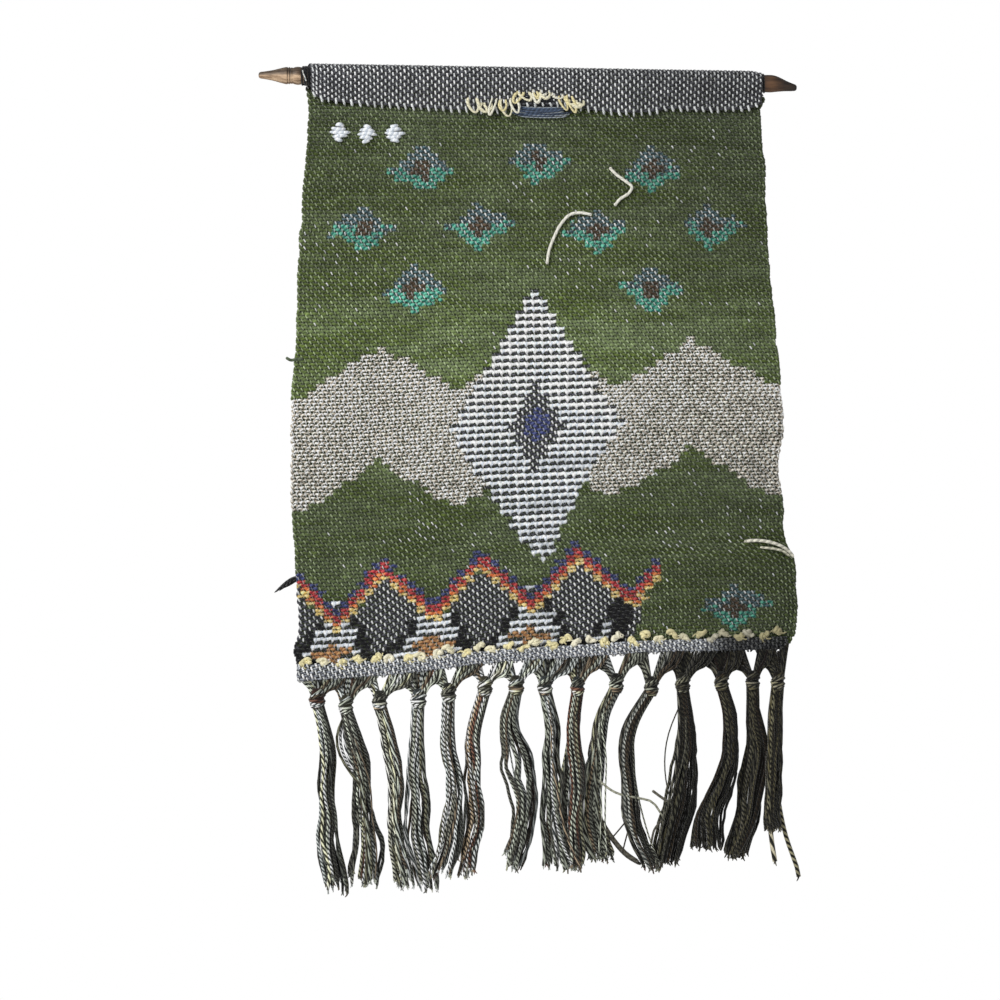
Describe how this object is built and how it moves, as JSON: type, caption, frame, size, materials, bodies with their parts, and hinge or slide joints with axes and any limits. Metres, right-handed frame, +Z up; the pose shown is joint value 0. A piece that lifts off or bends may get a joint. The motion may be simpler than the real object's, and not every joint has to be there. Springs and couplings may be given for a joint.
{
  "type": "woven wool tapestry on a hanging rod",
  "caption": "Hand-woven wool wall hanging with a folded casing over a turned wooden rod, a knotted hem and a row of knotted yarn tassels.",
  "frame": {"origin": "on the rod's axis, halfway along the rod", "axes": "+X to the viewer's right along the rod, +Y towards the wall behind, +Z up; the face of the cloth looks along -Y"},
  "size_m": [0.4384, 0.0201, 0.6629],
  "materials": {
    "woven_wool": "matt",
    "fringe_yarn": "matt",
    "white_yarn": "matt",
    "charcoal_roving": "matt",
    "turned_wood": "satin"
  },
  "bodies": {
    "root": {"rod": "turned_wood", "tapestry": "woven_wool", "tassel_01": "fringe_yarn", "tassel_02": "fringe_yarn", "tassel_03": "fringe_yarn", "tassel_04": "fringe_yarn", "tassel_05": "fringe_yarn", "tassel_06": "fringe_yarn", "tassel_07": "fringe_yarn", "tassel_08": "fringe_yarn", "tassel_09": "fringe_yarn", "tassel_10": "fringe_yarn", "tassel_11": "fringe_yarn", "tassel_12": "fringe_yarn", "tassel_13": "fringe_yarn", "tassel_14": "fringe_yarn", "tassel_15": "fringe_yarn", "yarn_tail_long": "white_yarn", "yarn_tail_short": "white_yarn", "roving_tuft": "charcoal_roving"}
  },
  "joints": []
}
